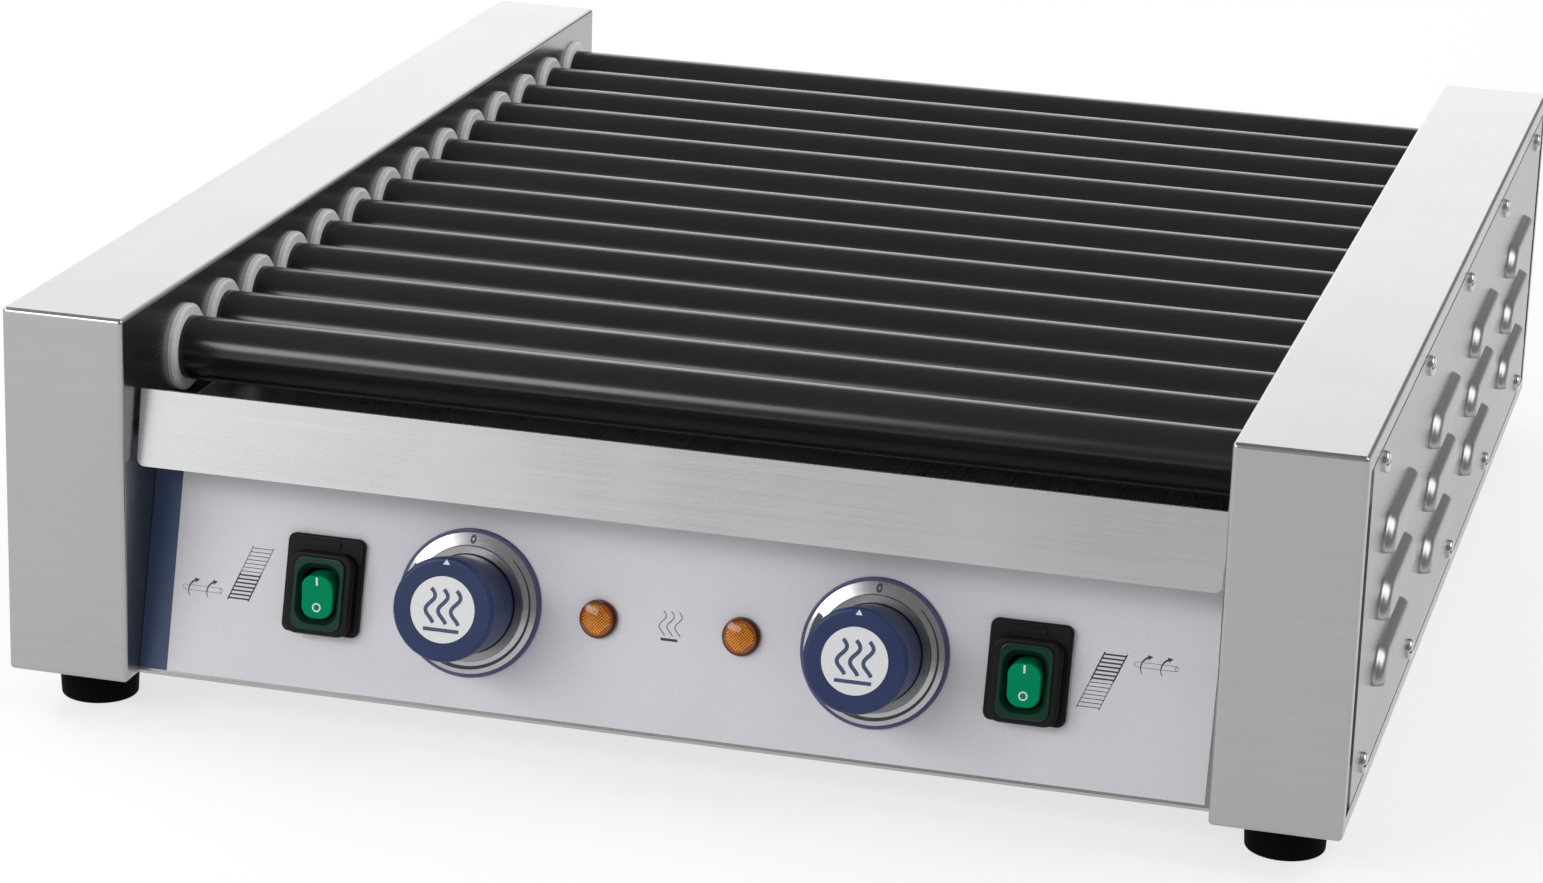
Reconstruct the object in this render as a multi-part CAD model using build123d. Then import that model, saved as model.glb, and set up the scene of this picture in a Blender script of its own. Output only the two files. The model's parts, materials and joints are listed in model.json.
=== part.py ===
from build123d import *
import math
import os

# Hot dog roller grill: fourteen heated rollers turn between two sheet-steel side housings.
# Millimetres. X runs along the rollers, -Y is the operator's side and +Z is up.
# The origin is on the table, midway between the four feet.

# Overall size
WIDTH = 520.0
DEPTH = 590.0
FOOT_HEIGHT = 17.0
CASE_HEIGHT = 146.0
CASE_WIDTH = 49.0
CASE_EDGE = 1.8
SHEET = 1.2
COVER_SHEET = 1.0
FIT_GAP = 0.2
CASE_BOTTOM = FOOT_HEIGHT
CASE_TOP = FOOT_HEIGHT + CASE_HEIGHT
CASE_OUT = WIDTH / 2
WALL_OUT = CASE_OUT - CASE_WIDTH
WALL_IN = WALL_OUT + SHEET
SHEET_HALF = WALL_OUT - FIT_GAP

# Rollers and their drive
ROLLERS = 14
GROUP = 7
CHAIN_PITCH = 9.525
CHAIN_ROLLER_R = 3.175
ROLLER_PITCH = 4 * CHAIN_PITCH
FIRST_ROLLER_Y = -234.0
ROLLER_Z = 136.0
ROLLER_R = 12.5
ROLLER_BORE_R = 11.0
ROLLER_END = 220.0
RUNNING_GAP = 0.05
ROLLER_TEETH = 8
DRIVE_TEETH = 12
CHAIN_LINKS = 60
CHAIN_X = 228.0
TOOTH_WIDTH = 5.3
LINK_R = 4.0
LINK_GAP = 3.3
LINK_SHEET = 1.0
PIN_R = 1.65
HUB_R = 7.0
ROLLER_TIP_R = 13.6
DRIVE_TIP_R = 20.0
FLANK_SLOPE = 1.7
SEAT_GAP = 0.4
ELEMENT_R = 4.0
ELEMENT_END = 240.0
TERMINAL_R = 1.75
TERMINAL_LENGTH = 8.0
BRACKET_X = 237.0
BRACKET_HALF = 10.0
SHAFT_R = 5.0
MOTOR_FACE = WALL_OUT - 4.0

# Bushings in the inner walls
BUSH_FLANGE_R = 17.0
BUSH_FACE_R = 16.2
BUSH_RIM = 1.6
BUSH_FLANGE = 2.5
BUSH_R = 14.5
BUSH_LENGTH = 6.0

# Side covers: flush in their windows, with a vent gap at each end
WINDOW_Y = 288.5
WINDOW_LOW = 24.0
WINDOW_HIGH = 156.0
LEDGE_SIDE = 16.0
COVER_GAP = 0.9
COVER_END_GAP = 8.5
COVER_FACE = CASE_OUT
SCREW_PITCH = 126.5
SCREW_ROWS = (32.5, 149.0)
SCREW_R = 1.5
SCREW_HEAD_R = 4.0
SCREW_HEAD = 2.2
SCREW_LENGTH = 6.0
LOUVRE_PITCH = 132.0
LOUVRE_ROWS = (56.5, 82.5, 108.5)
LOUVRE_LENGTH = 78.0
LOUVRE_HEIGHT = 13.0
LOUVRE_BULGE = 4.2

# Sloping control panel
PANEL_TILT = 14.2
PANEL_Y = -283.0
PANEL_Z = CASE_BOTTOM + 0.6
PANEL_TOP = 109.0
PANEL_FLANGE = 14.0
PANEL_SIDE_FOLD = 10.0
PANEL_SLOPE = (PANEL_TOP - PANEL_Z) / math.cos(math.radians(PANEL_TILT))
LABEL = 0.3
CONTROL_ROW = 42.8
PANEL_HOLE_R = 5.2
SWITCH_X = 138.0
KNOB_X = 79.4
LAMP_X = 28.0
LAMP_R = 7.4

# Rocker switches
SWITCH_CUT_WIDTH = 22.0
SWITCH_CUT_HEIGHT = 28.0
SWITCH_DROP = 3.0
BOOT_WIDTH = 20.2
BOOT_HEIGHT = 28.0
ROCKER_WIDTH = 12.6
ROCKER_HEIGHT = 17.0
ROCKER_CORNER = 5.0
ROCKER_TRAVEL = 20.0
PIVOT_DEPTH = 2.0
PIVOT_R = 1.5

# Thermostat dials and knobs: heights above the panel's face
SKIRT_R = 28.5
SKIRT_TOP = 1.7
DIAL_R = 27.0
DIAL_EDGE_TOP = 2.0
DIAL_CONE_TOP = 3.7
DIAL_LIP_R = 22.3
DIAL_LIP_TOP = 4.5
DIAL_BORE_R = 19.2
KNOB_BASE_R = 18.6
KNOB_R = 19.9
KNOB_FACE = 33.0
SPINDLE_R = 3.0
SPINDLE_BACK = -12.0
SPINDLE_TOP = 24.0

# Drip tray
LIP_TILT = 10.3
LIP_Y = -285.9
LIP_Z = 103.1
LIP_HEIGHT = 29.8
LIP_HALF = 209.5
LIP_CORNER = 3.0
TRAY_FLOOR = 110.5
TRAY_HALF = 205.2
TRAY_BACK = 283.0
TRAY_RIM = 118.0

# Rear panel, base pan and feet
REAR_LOW_Y = 274.0
REAR_HIGH_Y = 288.0
REAR_SHELF = PANEL_TOP
REAR_TOP = 138.0
BASE_Z = PANEL_Z + SHEET
FOOT_X = CASE_OUT - CASE_WIDTH / 2
FOOT_Y = 264.0
FOOT_TOP_R = 16.0
FOOT_BOTTOM_R = 15.0
FOOT_WEB = 8.0
FOOT_HOLE_R = 2.7
GLAND_X = -150.0
GLAND_Z = 50.0
GLAND_BORE_R = 4.2
GLAND_THREAD_R = 8.0

PANEL = Plane(
    origin=(0, PANEL_Y, PANEL_Z),
    x_dir=(1, 0, 0),
    z_dir=(0, -math.cos(math.radians(PANEL_TILT)), math.sin(math.radians(PANEL_TILT))),
)
LIP = Plane(
    origin=(0, LIP_Y, LIP_Z),
    x_dir=(1, 0, 0),
    z_dir=(0, -math.cos(math.radians(LIP_TILT)), math.sin(math.radians(LIP_TILT))),
)


def block(x0, x1, y0, y1, z0, z1):
    """A box given by its two corners."""
    centre = Pos((x0 + x1) / 2, (y0 + y1) / 2, (z0 + z1) / 2)
    return centre * Box(x1 - x0, y1 - y0, z1 - z0)


def rod_x(radius, x0, x1, y=0.0, z=0.0):
    """A round bar along X."""
    return Pos((x0 + x1) / 2, y, z) * Rot(0, 90, 0) * Cylinder(radius, x1 - x0)


def rod_y(radius, y0, y1, x=0.0, z=0.0):
    """A round bar along Y."""
    return Pos(x, (y0 + y1) / 2, z) * Rot(90, 0, 0) * Cylinder(radius, y1 - y0)


def rod_z(radius, z0, z1, x=0.0, y=0.0):
    """A round bar along Z."""
    return Pos(x, y, (z0 + z1) / 2) * Cylinder(radius, z1 - z0)


def rounded(width, height, corner, low, high):
    """A rounded rectangle standing on the local XY plane from low to high."""
    return Pos(0, 0, low) * extrude(RectangleRounded(width, height, corner), high - low)


def mirrored(shape):
    """The same piece for the left side."""
    return mirror(shape, about=Plane.YZ)


def merged(first, others):
    """One shape out of many touching or overlapping ones."""
    return first.fuse(*others)


def write(node, *solids):
    """One file for each named piece, or group of like pieces."""
    shape = solids[0] if len(solids) == 1 else Compound(children=list(solids))
    shape.label = node
    export_step(shape, os.path.join("parts", node + ".step"))


def roller_y(index):
    return FIRST_ROLLER_Y + index * ROLLER_PITCH


# ---------------------------------------------------------------- side housings


def case_body():
    """The folded box of the right housing with the stepped window for its cover."""
    outer = block(WALL_OUT, CASE_OUT, -DEPTH / 2, DEPTH / 2, CASE_BOTTOM, CASE_TOP)
    outer = fillet(outer.edges(), CASE_EDGE)
    inside = DEPTH / 2 - SHEET
    cavity = block(WALL_IN, CASE_OUT - SHEET, -inside, inside, CASE_BOTTOM + SHEET, CASE_TOP - SHEET)
    ledge_face = COVER_FACE - COVER_SHEET
    step = WINDOW_Y + SHEET
    frame = block(
        ledge_face - SHEET, CASE_OUT - SHEET, -step, step, WINDOW_LOW - SHEET, WINDOW_HIGH + SHEET
    )
    window = block(ledge_face, CASE_OUT + 1, -WINDOW_Y, WINDOW_Y, WINDOW_LOW, WINDOW_HIGH)
    opening = block(
        ledge_face - 2 * SHEET,
        CASE_OUT + 1,
        -WINDOW_Y,
        WINDOW_Y,
        WINDOW_LOW + LEDGE_SIDE,
        WINDOW_HIGH - LEDGE_SIDE,
    )
    return (outer - cavity + frame) - window - opening


def screw_places():
    return [(column * SCREW_PITCH, row) for row in SCREW_ROWS for column in range(-2, 3)]


def housing(drive_side):
    """A side housing; the drive side also lets the two motor shafts through."""
    shape = case_body()
    holes = [
        rod_x(BUSH_R + RUNNING_GAP, WALL_OUT - 1, WALL_IN + 1, roller_y(i), ROLLER_Z)
        for i in range(ROLLERS)
    ]
    if drive_side:
        holes += [
            rod_x(SHAFT_R + 2, WALL_OUT - 1, WALL_IN + 1, y, drive_height()) for y in drive_places()
        ]
    ledge = COVER_FACE - COVER_SHEET
    holes += [rod_x(SCREW_R + 0.1, ledge - 2, ledge + 1, y, z) for y, z in screw_places()]
    holes += [
        rod_z(FOOT_HOLE_R, CASE_BOTTOM - 1, CASE_BOTTOM + 3, FOOT_X, y) for y in (-FOOT_Y, FOOT_Y)
    ]
    return shape - holes


def capsule(radius, length):
    """A bar along Y with round ends."""
    outline = Rot(0, 0, 90) * SlotCenterToCenter(length, 2 * radius)
    half = outline & Pos(radius, 0) * Rectangle(2 * radius, length + 4 * radius)
    return revolve(half, Axis.Y)


def louvre(radius):
    """The bulge of one louvre: the slice of a capsule that stands proud of the cover."""
    straight = LOUVRE_LENGTH - 2 * LOUVRE_HEIGHT
    centre_x = COVER_FACE + LOUVRE_BULGE - louvre_radius()
    return Pos(centre_x, 0, 0) * capsule(radius, straight)


def louvre_radius():
    return (LOUVRE_HEIGHT**2 + LOUVRE_BULGE**2) / (2 * LOUVRE_BULGE)


def side_cover():
    """The louvred plate that closes the right housing."""
    inner_face = COVER_FACE - COVER_SHEET
    half = WINDOW_Y - COVER_END_GAP
    plate = block(
        inner_face, COVER_FACE, -half, half, WINDOW_LOW + COVER_GAP, WINDOW_HIGH - COVER_GAP
    )
    reach = LOUVRE_LENGTH
    slit = block(inner_face - 1, COVER_FACE + 2 * LOUVRE_BULGE, -reach, reach, 0, 2 * LOUVRE_HEIGHT)
    outside = block(inner_face, COVER_FACE + 2 * LOUVRE_BULGE, -reach, reach, 0, 2 * LOUVRE_HEIGHT)
    outer = louvre(louvre_radius())
    inner = louvre(louvre_radius() - COVER_SHEET)
    hood = outer & outside
    hollow = inner & slit
    places = [
        Pos(0, column * LOUVRE_PITCH, row) for row in LOUVRE_ROWS for column in (-1.5, -0.5, 0.5, 1.5)
    ]
    plate = merged(plate, [place * hood for place in places])
    plate = plate - [place * hollow for place in places]
    return plate - [
        rod_x(SCREW_R + 0.1, inner_face - 1, COVER_FACE + 1, y, z) for y, z in screw_places()
    ]


def cover_screw(y, z):
    """A slotted pan-head screw along +X."""
    head = rod_x(SCREW_HEAD_R, COVER_FACE, COVER_FACE + SCREW_HEAD, y, z)
    rim = head.edges().sort_by(Axis.X)[-1]
    head = fillet(rim, 1.2)
    slot = block(
        COVER_FACE + SCREW_HEAD - 0.9, COVER_FACE + SCREW_HEAD + 1, y - 5, y + 5, z - 0.5, z + 0.5
    )
    return head - slot + rod_x(SCREW_R, COVER_FACE - SCREW_LENGTH, COVER_FACE, y, z)


# ---------------------------------------------------------------- rollers and drive


def pitch_radius(teeth):
    return CHAIN_PITCH / (2 * math.sin(math.pi / teeth))


def chain_run(drop):
    """Slope in degrees and length of the straight run to a drive sprocket that far below."""
    reach = (GROUP // 2) * ROLLER_PITCH
    centres = math.hypot(reach, drop)
    swell = pitch_radius(DRIVE_TEETH) - pitch_radius(ROLLER_TEETH)
    slope = math.degrees(math.atan2(drop, reach) + math.asin(swell / centres))
    return slope, math.sqrt(centres**2 - swell**2)


def chain_pitches(drop):
    """Links in a loop over the roller sprockets and round a drive sprocket below them."""
    slope, run = chain_run(drop)
    top = 4 * (GROUP - 1)
    ends = 2 * (180 - slope) * ROLLER_TEETH / 360
    return top + ends + 2 * run / CHAIN_PITCH + 2 * slope * DRIVE_TEETH / 360


def drive_drop():
    """How far the drive sprocket hangs below the rollers for a whole number of links."""
    low, high = 40.0, 80.0
    while high - low > 1e-6:
        middle = (low + high) / 2
        if chain_pitches(middle) < CHAIN_LINKS:
            low = middle
        else:
            high = middle
    return low


def drive_height():
    return ROLLER_Z - drive_drop()


def drive_places():
    return [roller_y(GROUP // 2), roller_y(GROUP + GROUP // 2)]


def sprocket_disc(teeth, tip_r):
    """A toothed disc about X with a gap at the top, in the chain's plane."""
    pitch_r = pitch_radius(teeth)
    gap = CHAIN_ROLLER_R + SEAT_GAP
    seat = Pos(0, pitch_r) * Circle(gap)
    rim = tip_r + 1
    wide = gap + FLANK_SLOPE * (rim - pitch_r)
    mouth = Polygon((-gap, pitch_r), (gap, pitch_r), (wide, rim), (-wide, rim), align=None)
    cut = seat + mouth
    face = Circle(tip_r)
    for tooth in range(teeth):
        face -= Rot(0, 0, tooth * 360 / teeth) * cut
    disc = extrude(face, TOOTH_WIDTH / 2, both=True)
    return Pos(CHAIN_X, 0, 0) * Rot(0, 90, 0) * Rot(0, 0, 90) * disc


def roller(y):
    """A roller tube that runs in both bushings."""
    tube = rod_x(ROLLER_R, -ROLLER_END, ROLLER_END, y, ROLLER_Z)
    tube = chamfer(tube.edges(), 0.5)
    return tube - rod_x(ROLLER_BORE_R, -ROLLER_END - 1, ROLLER_END + 1, y, ROLLER_Z)


def roller_sprocket(y):
    """The sprocket plugged into the drive end of a roller, bored for its heating element."""
    plug_end, hub_end = ROLLER_END - 8, CHAIN_X + 6
    plug = rod_x(ROLLER_BORE_R - 0.02, plug_end, ROLLER_END)
    hub = rod_x(HUB_R, ROLLER_END, hub_end)
    disc = sprocket_disc(ROLLER_TEETH, ROLLER_TIP_R)
    bore = rod_x(ELEMENT_R + 0.6, plug_end - 1, hub_end + 1)
    return Pos(0, y, ROLLER_Z) * (merged(plug, [hub, disc]) - bore)


def drive_sprocket(y):
    """The motor's sprocket and the shaft it is fixed on."""
    hub_r, hub_half = 9.0, 7.0
    hub = rod_x(hub_r, CHAIN_X - hub_half, CHAIN_X + hub_half)
    disc = sprocket_disc(DRIVE_TEETH, DRIVE_TIP_R)
    bore = rod_x(SHAFT_R + 0.02, CHAIN_X - hub_half - 1, CHAIN_X + hub_half + 1)
    wheel = merged(hub, [disc]) - bore
    shaft = chamfer(rod_x(SHAFT_R, MOTOR_FACE - 20, CHAIN_X + hub_half + 2).edges(), 0.5)
    place = Pos(0, y, drive_height())
    return place * wheel, place * shaft


def gear_motor(y):
    """A gear motor on four spacers against the inner wall, under the tray."""
    z = drive_height()
    box_length, can_length, can_r, fin_pitch = 32, 60, 23, 6
    gearbox = Pos(MOTOR_FACE - box_length / 2, y, z) * Box(box_length, 66, 52)
    gearbox = fillet(gearbox.edges().filter_by(Axis.X), 8)
    can_front = MOTOR_FACE - box_length
    can = rod_x(can_r, can_front - can_length, can_front, y, z)
    can = fillet(can.edges().sort_by(Axis.X)[0], 3)
    fins = [can_front - fin_pitch * (fin + 1) for fin in range(7)]
    cooling = [rod_x(can_r + 1.5, x, x + 2, y, z) for x in fins]
    spacers = [
        rod_x(4, MOTOR_FACE, WALL_OUT, y + dy, z + dz) for dy in (-26, 26) for dz in (-19, 19)
    ]
    body = merged(gearbox, [can, *cooling, *spacers])
    return body - rod_x(SHAFT_R + RUNNING_GAP, MOTOR_FACE - 24, WALL_OUT + 1, y, z)


def chain_points():
    """Pin centres of one chain, from the first roller's top, as (y, z) about that roller."""
    drop = drive_drop()
    slope, run = chain_run(drop)
    small, large = pitch_radius(ROLLER_TEETH), pitch_radius(DRIVE_TEETH)
    span = (GROUP - 1) * ROLLER_PITCH
    top = 4 * (GROUP - 1)
    wrap = (180 - slope) * ROLLER_TEETH / 360
    straight = run / CHAIN_PITCH
    points = []
    for link in range(CHAIN_LINKS // 2 + top // 2 + 1):
        past = link - top
        if past <= 0:
            points.append((link * CHAIN_PITCH, small))
        elif past <= wrap:
            turn = math.radians(90 - past * 360 / ROLLER_TEETH)
            points.append((span + small * math.cos(turn), small * math.sin(turn)))
        elif past <= wrap + straight:
            turn = math.radians(90 - (180 - slope))
            along = (past - wrap) * CHAIN_PITCH
            y = span + small * math.cos(turn) - along * math.cos(math.radians(slope))
            z = small * math.sin(turn) - along * math.sin(math.radians(slope))
            points.append((y, z))
        else:
            turn = math.radians(slope - 90 - (past - wrap - straight) * 360 / DRIVE_TEETH)
            points.append((span / 2 + large * math.cos(turn), large * math.sin(turn) - drop))
    half = points[top // 2 :]
    other = [(span - y, z) for y, z in reversed(half[1:-1])]
    return half + other


def link_plate(start, end, x):
    """One side plate of a link, between two pins."""
    length = math.hypot(end[0] - start[0], end[1] - start[1])
    angle = math.degrees(math.atan2(end[1] - start[1], end[0] - start[0]))
    face = SlotCenterToCenter(length, 2 * LINK_R)
    plate = extrude(face, LINK_SHEET)
    upright = Rot(0, 90, 0) * Rot(0, 0, 90) * Rot(0, 0, angle)
    return Pos(x, (start[0] + end[0]) / 2, (start[1] + end[1]) / 2) * upright * plate


def chain(first):
    """A roller chain looped over one group's sprockets and down round its drive sprocket."""
    points = chain_points()
    pieces = []
    for index, start in enumerate(points):
        end = points[(index + 1) % len(points)]
        offset = LINK_GAP + (index % 2) * LINK_SHEET
        pieces.append(link_plate(start, end, offset))
        pieces.append(link_plate(start, end, -offset - LINK_SHEET))
        pieces.append(rod_x(CHAIN_ROLLER_R, -LINK_GAP, LINK_GAP, *start))
        pin = LINK_GAP + 2.5 * LINK_SHEET
        pieces.append(rod_x(PIN_R, -pin, pin, *start))
    return Pos(CHAIN_X, roller_y(first), ROLLER_Z) * merged(pieces[0], pieces[1:])


# ---------------------------------------------------------------- bushings and heating


def bushing(y):
    """A flanged bearing sleeve in the right inner wall, its flange stepped at the rim."""
    rim = rod_x(BUSH_FLANGE_R, WALL_OUT - BUSH_RIM, WALL_OUT, y, ROLLER_Z)
    face = rod_x(BUSH_FACE_R, WALL_OUT - BUSH_FLANGE, WALL_OUT, y, ROLLER_Z)
    face = fillet(face.edges().sort_by(Axis.X)[0], 0.5)
    sleeve = rod_x(BUSH_R, WALL_OUT, WALL_OUT + BUSH_LENGTH, y, ROLLER_Z)
    bore = rod_x(ROLLER_R + RUNNING_GAP, WALL_OUT - 9, WALL_OUT + 9, y, ROLLER_Z)
    return merged(rim, [face, sleeve]) - bore


def heating_element(y):
    """A straight tubular heater with a terminal pin at each end."""
    pin = ELEMENT_END + TERMINAL_LENGTH
    tube = rod_x(ELEMENT_R, -ELEMENT_END, ELEMENT_END, y, ROLLER_Z)
    return merged(tube, [rod_x(TERMINAL_R, -pin, pin, y, ROLLER_Z)])


def element_bracket():
    """The channel that holds the heaters' ends inside the right housing."""
    foot = 8.0
    low_y, high_y = roller_y(0) - 28, roller_y(ROLLERS - 1) + 22
    low_z, high_z = ROLLER_Z - BRACKET_HALF, ROLLER_Z + BRACKET_HALF
    web = block(BRACKET_X, BRACKET_X + SHEET, low_y, high_y, low_z, high_z)
    ends = [block(WALL_IN, BRACKET_X + SHEET, y, y + SHEET, low_z, high_z) for y in (low_y, high_y)]
    feet = [
        block(WALL_IN, WALL_IN + SHEET, y, y + foot + 1, low_z, high_z)
        for y in (low_y - foot, high_y)
    ]
    holes = [
        rod_x(ELEMENT_R + RUNNING_GAP, BRACKET_X - 1, BRACKET_X + 3, roller_y(i), ROLLER_Z)
        for i in range(ROLLERS)
    ]
    return merged(web, [*ends, *feet]) - holes


# ---------------------------------------------------------------- control panel


def on_panel(x, slope, shape):
    """A shape built about a control's centre, set on the panel's face."""
    return PANEL * Pos(x, slope, 0) * shape


def panel_cuts(low, high):
    """Holes for the switches, the thermostat bushes and the lamps."""
    cuts = []
    for side in (-1, 1):
        switch_hole = rounded(SWITCH_CUT_WIDTH, SWITCH_CUT_HEIGHT, 1, low, high)
        cuts.append(on_panel(side * SWITCH_X, CONTROL_ROW, switch_hole))
        cuts.append(on_panel(side * KNOB_X, CONTROL_ROW, rod_z(PANEL_HOLE_R, low, high)))
        cuts.append(on_panel(side * LAMP_X, CONTROL_ROW, rod_z(PANEL_HOLE_R, low, high)))
    return cuts


def front_panel():
    """The sloping sheet with folded edges."""
    face = block(-SHEET_HALF, SHEET_HALF, 0, PANEL_SLOPE, -SHEET, 0)
    top_y = PANEL_Y + (PANEL_TOP - PANEL_Z) * math.tan(math.radians(PANEL_TILT))
    folds = [
        block(-SHEET_HALF, SHEET_HALF, PANEL_Y, PANEL_Y + PANEL_FLANGE, PANEL_Z, PANEL_Z + SHEET),
        block(-SHEET_HALF, SHEET_HALF, top_y, top_y + PANEL_FLANGE, PANEL_TOP - SHEET, PANEL_TOP),
    ]
    for side in (-1, 1):
        edge = side * (SHEET_HALF - SHEET / 2)
        ends = (5, PANEL_SLOPE - 2)
        fold = block(edge - SHEET / 2, edge + SHEET / 2, *ends, -PANEL_SIDE_FOLD, 0)
        folds.append(PANEL * fold)
    return merged(PANEL * face, folds) - panel_cuts(-2 * SHEET, 1)


def panel_label():
    """The printed film over the panel, short of its lower and right edges."""
    right, low = SHEET_HALF - 3.2, 2.2
    film = block(-SHEET_HALF, right, low, PANEL_SLOPE, 0, LABEL)
    return PANEL * film - panel_cuts(-1, 1)


def spade_tabs(places, width, thickness, low, high):
    """Flat push-on terminals behind a control."""
    return [
        block(x - width / 2, x + width / 2, -thickness / 2, thickness / 2, low, high)
        for x in places
    ]


def switch_frame(x):
    """A splash-proof switch: flange, raised collar off centre, and body behind the panel."""
    flange_top, collar_top, collar_floor = 3.0, 7.5, 5.0
    body_back, cavity_back, over = -24, -8, 9
    flange = rounded(31, 38, 3, LABEL, flange_top)
    flange = fillet(flange.edges().group_by(Axis.Z)[-1], 0.8)
    drop = Pos(0, -SWITCH_DROP, 0)
    collar = drop * rounded(26.4, 32, 5, flange_top - 1, collar_top)
    collar = fillet(collar.edges().group_by(Axis.Z)[-1], 1.4)
    rib = Pos(0, 16, 0) * rounded(12, 2.4, 1, flange_top - 1, flange_top + 0.6)
    body_width, body_height = SWITCH_CUT_WIDTH - 0.4, SWITCH_CUT_HEIGHT - 0.4
    body = rounded(body_width, body_height, 1, body_back, LABEL + 0.5)
    tabs = spade_tabs((-6, 6), 0.8, 6.3, body_back - 8, body_back + 1)
    shape = merged(flange, [collar, rib, body, *tabs])
    pocket = drop * rounded(BOOT_WIDTH + 0.2, BOOT_HEIGHT + 0.2, 4, collar_floor, over)
    cavity = drop * rounded(ROCKER_WIDTH + 1.2, ROCKER_HEIGHT + 2.8, 4.5, cavity_back, over)
    pivot = drop * rod_x(PIVOT_R + RUNNING_GAP, -9, 9, 0, PIVOT_DEPTH)
    return on_panel(x, CONTROL_ROW, shape - pocket - cavity - pivot)


def switch_boot(x):
    """The soft sealing ring in the collar, sloping down like a funnel to the rocker."""
    low, throat, top, slope = 5.0, 6.0, 8.4, 32
    ring = rounded(BOOT_WIDTH, BOOT_HEIGHT, 3.9, low, top)
    ring = fillet(ring.edges().group_by(Axis.Z)[-1], 0.5)
    opening = RectangleRounded(ROCKER_WIDTH + 2.0, ROCKER_HEIGHT + 3.6, 4.6)
    hole = extrude(opening, top)
    funnel = Pos(0, 0, throat) * extrude(opening, top, taper=-slope)
    return on_panel(x, CONTROL_ROW - SWITCH_DROP, ring - hole - funnel)


def rocker(x):
    """A switch rocker resting with its lower end pressed in."""
    reach, low, middle, end = 9.5, -1.5, 8.2, 9.4
    outline = Polygon(
        (-reach, low), (reach, low), (reach, end), (0, middle), (-reach, end), align=None
    )
    paddle = extrude(Plane.YZ * outline, ROCKER_WIDTH, both=True)
    paddle = paddle & rounded(ROCKER_WIDTH, ROCKER_HEIGHT, ROCKER_CORNER, low - 1, end + 1)
    paddle = fillet(paddle.edges().group_by(Axis.Z)[-1], 0.6)
    paddle = merged(paddle, [rod_x(PIVOT_R, -8.8, 8.8, 0, PIVOT_DEPTH)])
    pivot = Pos(0, 0, PIVOT_DEPTH)
    tilted = pivot * Rot(ROCKER_TRAVEL / 2, 0, 0) * pivot.inverse() * paddle
    return on_panel(x, CONTROL_ROW - SWITCH_DROP, tilted)


def dial_skirt(x):
    """The wide disc under a knob."""
    disc = fillet(rod_z(SKIRT_R, LABEL, SKIRT_TOP).edges().sort_by(Axis.Z)[-1], 0.6)
    return on_panel(x, CONTROL_ROW, disc - rod_z(PANEL_HOLE_R, 0, SKIRT_TOP + 1))


def dial_ring(x):
    """The conical scale ring on the skirt, with a raised lip round the knob."""
    section = Polygon(
        (DIAL_BORE_R, SKIRT_TOP),
        (DIAL_R, SKIRT_TOP),
        (DIAL_R, DIAL_EDGE_TOP),
        (DIAL_LIP_R, DIAL_CONE_TOP),
        (DIAL_LIP_R - 0.3, DIAL_LIP_TOP),
        (DIAL_BORE_R, DIAL_LIP_TOP),
        align=None,
    )
    return on_panel(x, CONTROL_ROW, revolve(Plane.XZ * section, Axis.Z))


def knob(x):
    """A hollow thermostat knob, a little wider at its face, and the spindle it is pushed on."""
    low, wall, boss_r = 2.3, 2.0, 6.5
    outline = Polygon((0, low), (KNOB_BASE_R, low), (KNOB_R, KNOB_FACE), (0, KNOB_FACE), align=None)
    cap = revolve(Plane.XZ * outline, Axis.Z)
    cap = fillet(cap.edges().sort_by(Axis.Z)[-1], 1.6)
    hollow = rod_z(KNOB_BASE_R - wall, 1, KNOB_FACE - 3) - rod_z(boss_r, 0, KNOB_FACE)
    cap = cap - hollow - rod_z(SPINDLE_R + 0.02, 1, SPINDLE_TOP + 0.5)
    spindle = rod_z(SPINDLE_R, SPINDLE_BACK, SPINDLE_TOP)
    return on_panel(x, CONTROL_ROW, cap), on_panel(x, CONTROL_ROW, spindle)


def thermostat(x):
    """A capillary thermostat behind the panel, its bush through the panel."""
    back, front = -26, -6
    body = fillet(rod_z(18, back, front).edges(), 1.5)
    bush = rod_z(PANEL_HOLE_R - FIT_GAP, front - 1, 1.5)
    nut = rod_z(8.5, front - 0.5, -SHEET)
    tabs = spade_tabs((-8, 8), 6, 0.8, back - 10, back + 1)
    bore = rod_z(SPINDLE_R + RUNNING_GAP, SPINDLE_BACK - 2, 2)
    return on_panel(x, CONTROL_ROW, merged(body, [bush, nut, *tabs]) - bore)


def pilot_lamp(x):
    """A round lens with a domed face and its holder through the panel."""
    rim_top, dome_r, dome_top, back = 2.0, 15.0, 4.6, -26
    rim = fillet(rod_z(LAMP_R, LABEL, rim_top).edges().sort_by(Axis.Z)[-1], 0.5)
    dome = Pos(0, 0, dome_top - dome_r) * Sphere(dome_r) & rod_z(LAMP_R - 0.8, 1.0, dome_top + 1)
    holder = rod_z(PANEL_HOLE_R - FIT_GAP, back, LABEL + 0.5)
    nut = Pos(0, 0, -SHEET) * extrude(RegularPolygon(7.5, 6), -3)
    tabs = spade_tabs((-2.5, 2.5), 2.8, 0.8, back - 7, back + 1)
    return on_panel(x, CONTROL_ROW, merged(rim, [dome, holder, nut, *tabs]))


# ---------------------------------------------------------------- tray, rear and base


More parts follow.
